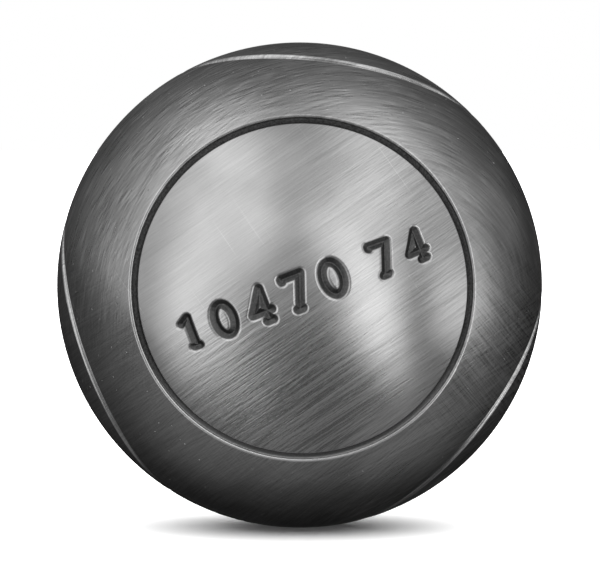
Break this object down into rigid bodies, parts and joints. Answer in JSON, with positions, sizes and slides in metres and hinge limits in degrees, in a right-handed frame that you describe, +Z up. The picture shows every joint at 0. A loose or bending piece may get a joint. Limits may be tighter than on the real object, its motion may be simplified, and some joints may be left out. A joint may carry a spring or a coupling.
{
  "type": "petanque boule",
  "caption": "Hollow brushed steel petanque boule, welded from pressed half shells and marked with engraved circles, thrown by hand at a target ball.",
  "frame": {"origin": "middle of the ball", "axes": "+Z up, the front engraved circle looks along -Y, and the welded seam runs round the ball in the XZ plane, about +Y"},
  "size_m": [0.074, 0.074, 0.074],
  "materials": {
    "front_shell_steel": "satin",
    "rear_shell_steel": "satin",
    "weld_steel": "satin"
  },
  "bodies": {
    "root": {"front_half_shell": "front_shell_steel", "rear_half_shell": "rear_shell_steel", "weld_seam": "weld_steel"}
  },
  "joints": []
}
